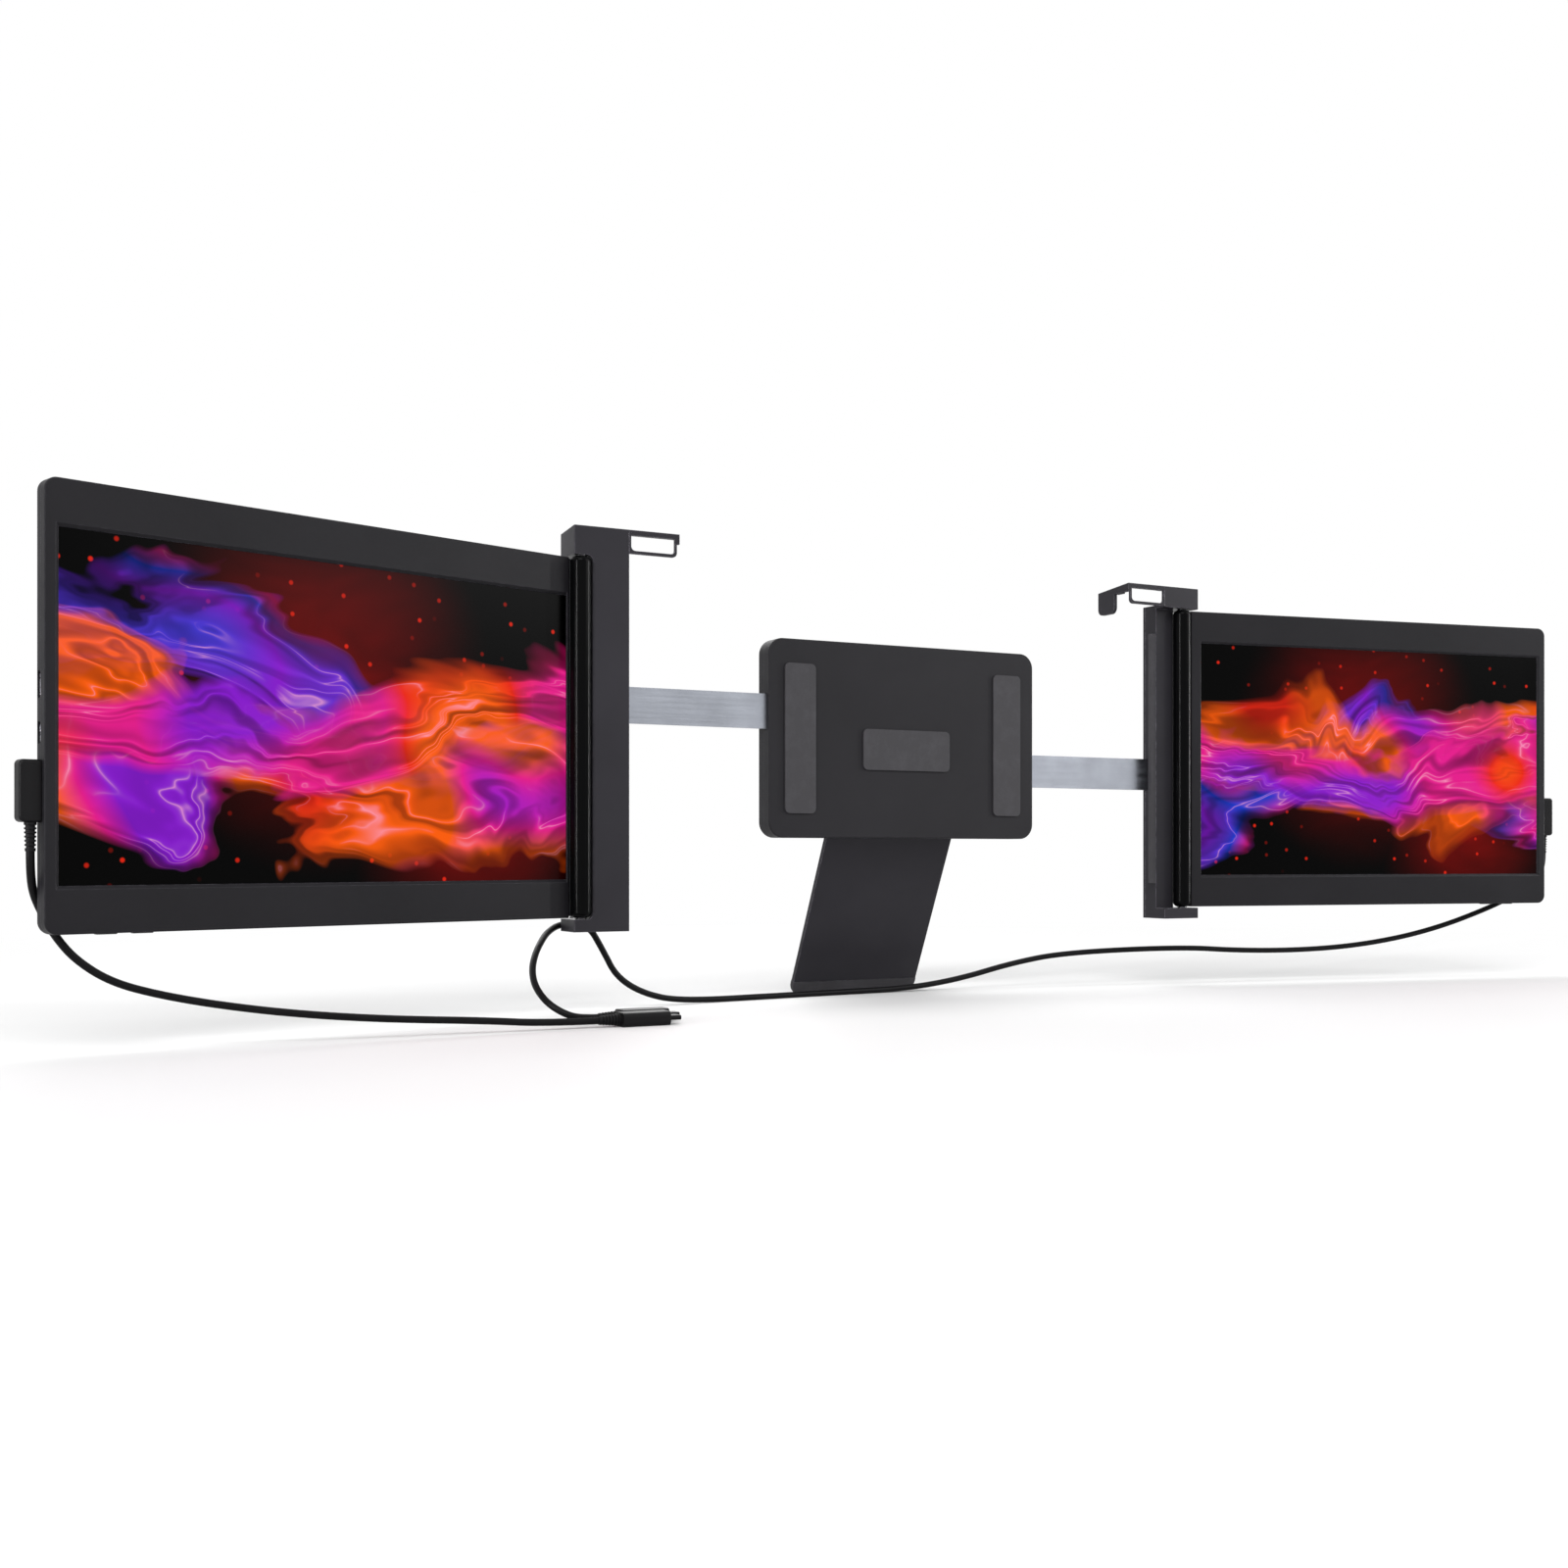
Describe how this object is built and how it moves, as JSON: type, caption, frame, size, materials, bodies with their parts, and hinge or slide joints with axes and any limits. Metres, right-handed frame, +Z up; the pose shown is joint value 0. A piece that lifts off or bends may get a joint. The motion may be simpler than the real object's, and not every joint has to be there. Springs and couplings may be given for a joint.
{
  "type": "laptop screen extender",
  "caption": "Hinged portable screens on sliding arms with a rear housing and stand, for use on a laptop's lid, with hook-over brackets, plugs and cables.",
  "frame": {"origin": "middle of the pad that rests on the back of the lid, halfway up the monitors", "axes": "+X along the long side to the viewer's right, +Y away from the viewer, +Z up"},
  "size_m": [0.9824, 0.1602, 0.2575],
  "materials": {
    "bezel_plastic": "fine moulded texture",
    "shell_plastic": "fine moulded texture",
    "bracket_plastic": "satin moulded",
    "barrel_plastic": "glossy",
    "screen": "glossy lit display",
    "tray_steel": "stamped",
    "pin_steel": "ground",
    "arm_steel": "satin",
    "screw_steel": "black oxide",
    "board": "solder mask",
    "socket_steel": "stamped",
    "key_plastic": "satin",
    "washer_polymer": "waxy",
    "guide_polymer": "waxy",
    "pad_silicone": "matte",
    "foot_rubber": "matte",
    "spring_steel": "drawn wire",
    "plug_plastic": "satin",
    "boot_rubber": "satin",
    "cable_jacket": "satin"
  },
  "bodies": {
    "housing": {"housing_front": "shell_plastic", "housing_rear": "shell_plastic", "guide_blocks": "guide_polymer", "housing_pads": "pad_silicone", "housing_screws": "screw_steel", "kickstand_pin": "pin_steel", "left_return_spring": "spring_steel", "right_return_spring": "spring_steel", "right_cable_middle": "cable_jacket"},
    "kickstand": {"kickstand": "bracket_plastic", "kickstand_foot": "foot_rubber"},
    "left_arm": {"left_bracket_casing": "bracket_plastic", "left_bracket_cover": "bracket_plastic", "left_bracket_screws": "screw_steel", "left_hook_arm": "bracket_plastic", "left_lid_pads": "pad_silicone", "left_slide_arm": "arm_steel", "left_hinge_pin": "pin_steel", "left_friction_washers": "washer_polymer", "left_far_plug": "plug_plastic", "left_far_boot": "boot_rubber", "right_far_plug": "plug_plastic", "right_far_boot": "boot_rubber", "right_cable_inner": "cable_jacket"},
    "left_monitor": {"left_front_bezel": "bezel_plastic", "left_rear_cover": "shell_plastic", "left_lcd_panel": "screen", "left_backlight_tray": "tray_steel", "left_driver_board": "board", "left_sockets": "socket_steel", "left_hinge_barrel": "barrel_plastic", "left_hinge_leaf": "pin_steel", "left_cover_screws": "screw_steel", "left_cable_plug": "plug_plastic", "left_cable_boot": "boot_rubber", "left_cable": "cable_jacket"},
    "left_power_key": {"left_power_button": "key_plastic"},
    "left_menu_key": {"left_menu_button": "key_plastic"},
    "right_arm": {"right_bracket_casing": "bracket_plastic", "right_bracket_cover": "bracket_plastic", "right_bracket_screws": "screw_steel", "right_hook_arm": "bracket_plastic", "right_lid_pads": "pad_silicone", "right_slide_arm": "arm_steel", "right_hinge_pin": "pin_steel", "right_friction_washers": "washer_polymer"},
    "right_monitor": {"right_front_bezel": "bezel_plastic", "right_rear_cover": "shell_plastic", "right_lcd_panel": "screen", "right_backlight_tray": "tray_steel", "right_driver_board": "board", "right_sockets": "socket_steel", "right_hinge_barrel": "barrel_plastic", "right_hinge_leaf": "pin_steel", "right_cover_screws": "screw_steel", "right_cable_plug": "plug_plastic", "right_cable_boot": "boot_rubber", "right_cable_outer": "cable_jacket"},
    "right_power_key": {"right_power_button": "key_plastic"},
    "right_menu_key": {"right_menu_button": "key_plastic"}
  },
  "joints": [
    {"name": "left_slide", "type": "slide", "parent": "housing", "child": "left_arm", "axis": [-1, 0, 0], "range_m": [-0.035, 0.015], "deforming": ["left_return_spring", "right_cable_inner"]},
    {"name": "right_slide", "type": "slide", "parent": "housing", "child": "right_arm", "axis": [1, 0, 0], "range_m": [-0.035, 0.015], "deforming": ["right_return_spring", "right_cable_middle"]},
    {"name": "left_hinge", "type": "hinge", "parent": "left_arm", "child": "left_monitor", "pos_m": [-0.2116, -0.0135, 0], "axis": [0, 0, 1], "range_deg": [-62.3, 162.7], "deforming": ["left_cable"]},
    {"name": "right_hinge", "type": "hinge", "parent": "right_arm", "child": "right_monitor", "pos_m": [0.20304, -0.00874, 0], "axis": [0, 0, -1], "range_deg": [-55.3, 169.7], "deforming": ["right_cable_outer"]},
    {"name": "kickstand_hinge", "type": "hinge", "parent": "housing", "child": "kickstand", "pos_m": [0, 0.0188, -0.047], "axis": [1, 0, 0], "range_deg": [0, 155]},
    {"name": "left_power_press", "type": "slide", "parent": "left_monitor", "child": "left_power_key", "axis": [0, 0, 1], "range_m": [0, 0.0005], "stiffness_N_per_m": 150, "springref_m": -0.0002},
    {"name": "left_menu_press", "type": "slide", "parent": "left_monitor", "child": "left_menu_key", "axis": [0, 0, 1], "range_m": [0, 0.0005], "stiffness_N_per_m": 150, "springref_m": -0.0002},
    {"name": "right_power_press", "type": "slide", "parent": "right_monitor", "child": "right_power_key", "axis": [0, 0, 1], "range_m": [0, 0.0005], "stiffness_N_per_m": 150, "springref_m": -0.0002},
    {"name": "right_menu_press", "type": "slide", "parent": "right_monitor", "child": "right_menu_key", "axis": [0, 0, 1], "range_m": [0, 0.0005], "stiffness_N_per_m": 150, "springref_m": -0.0002}
  ]
}
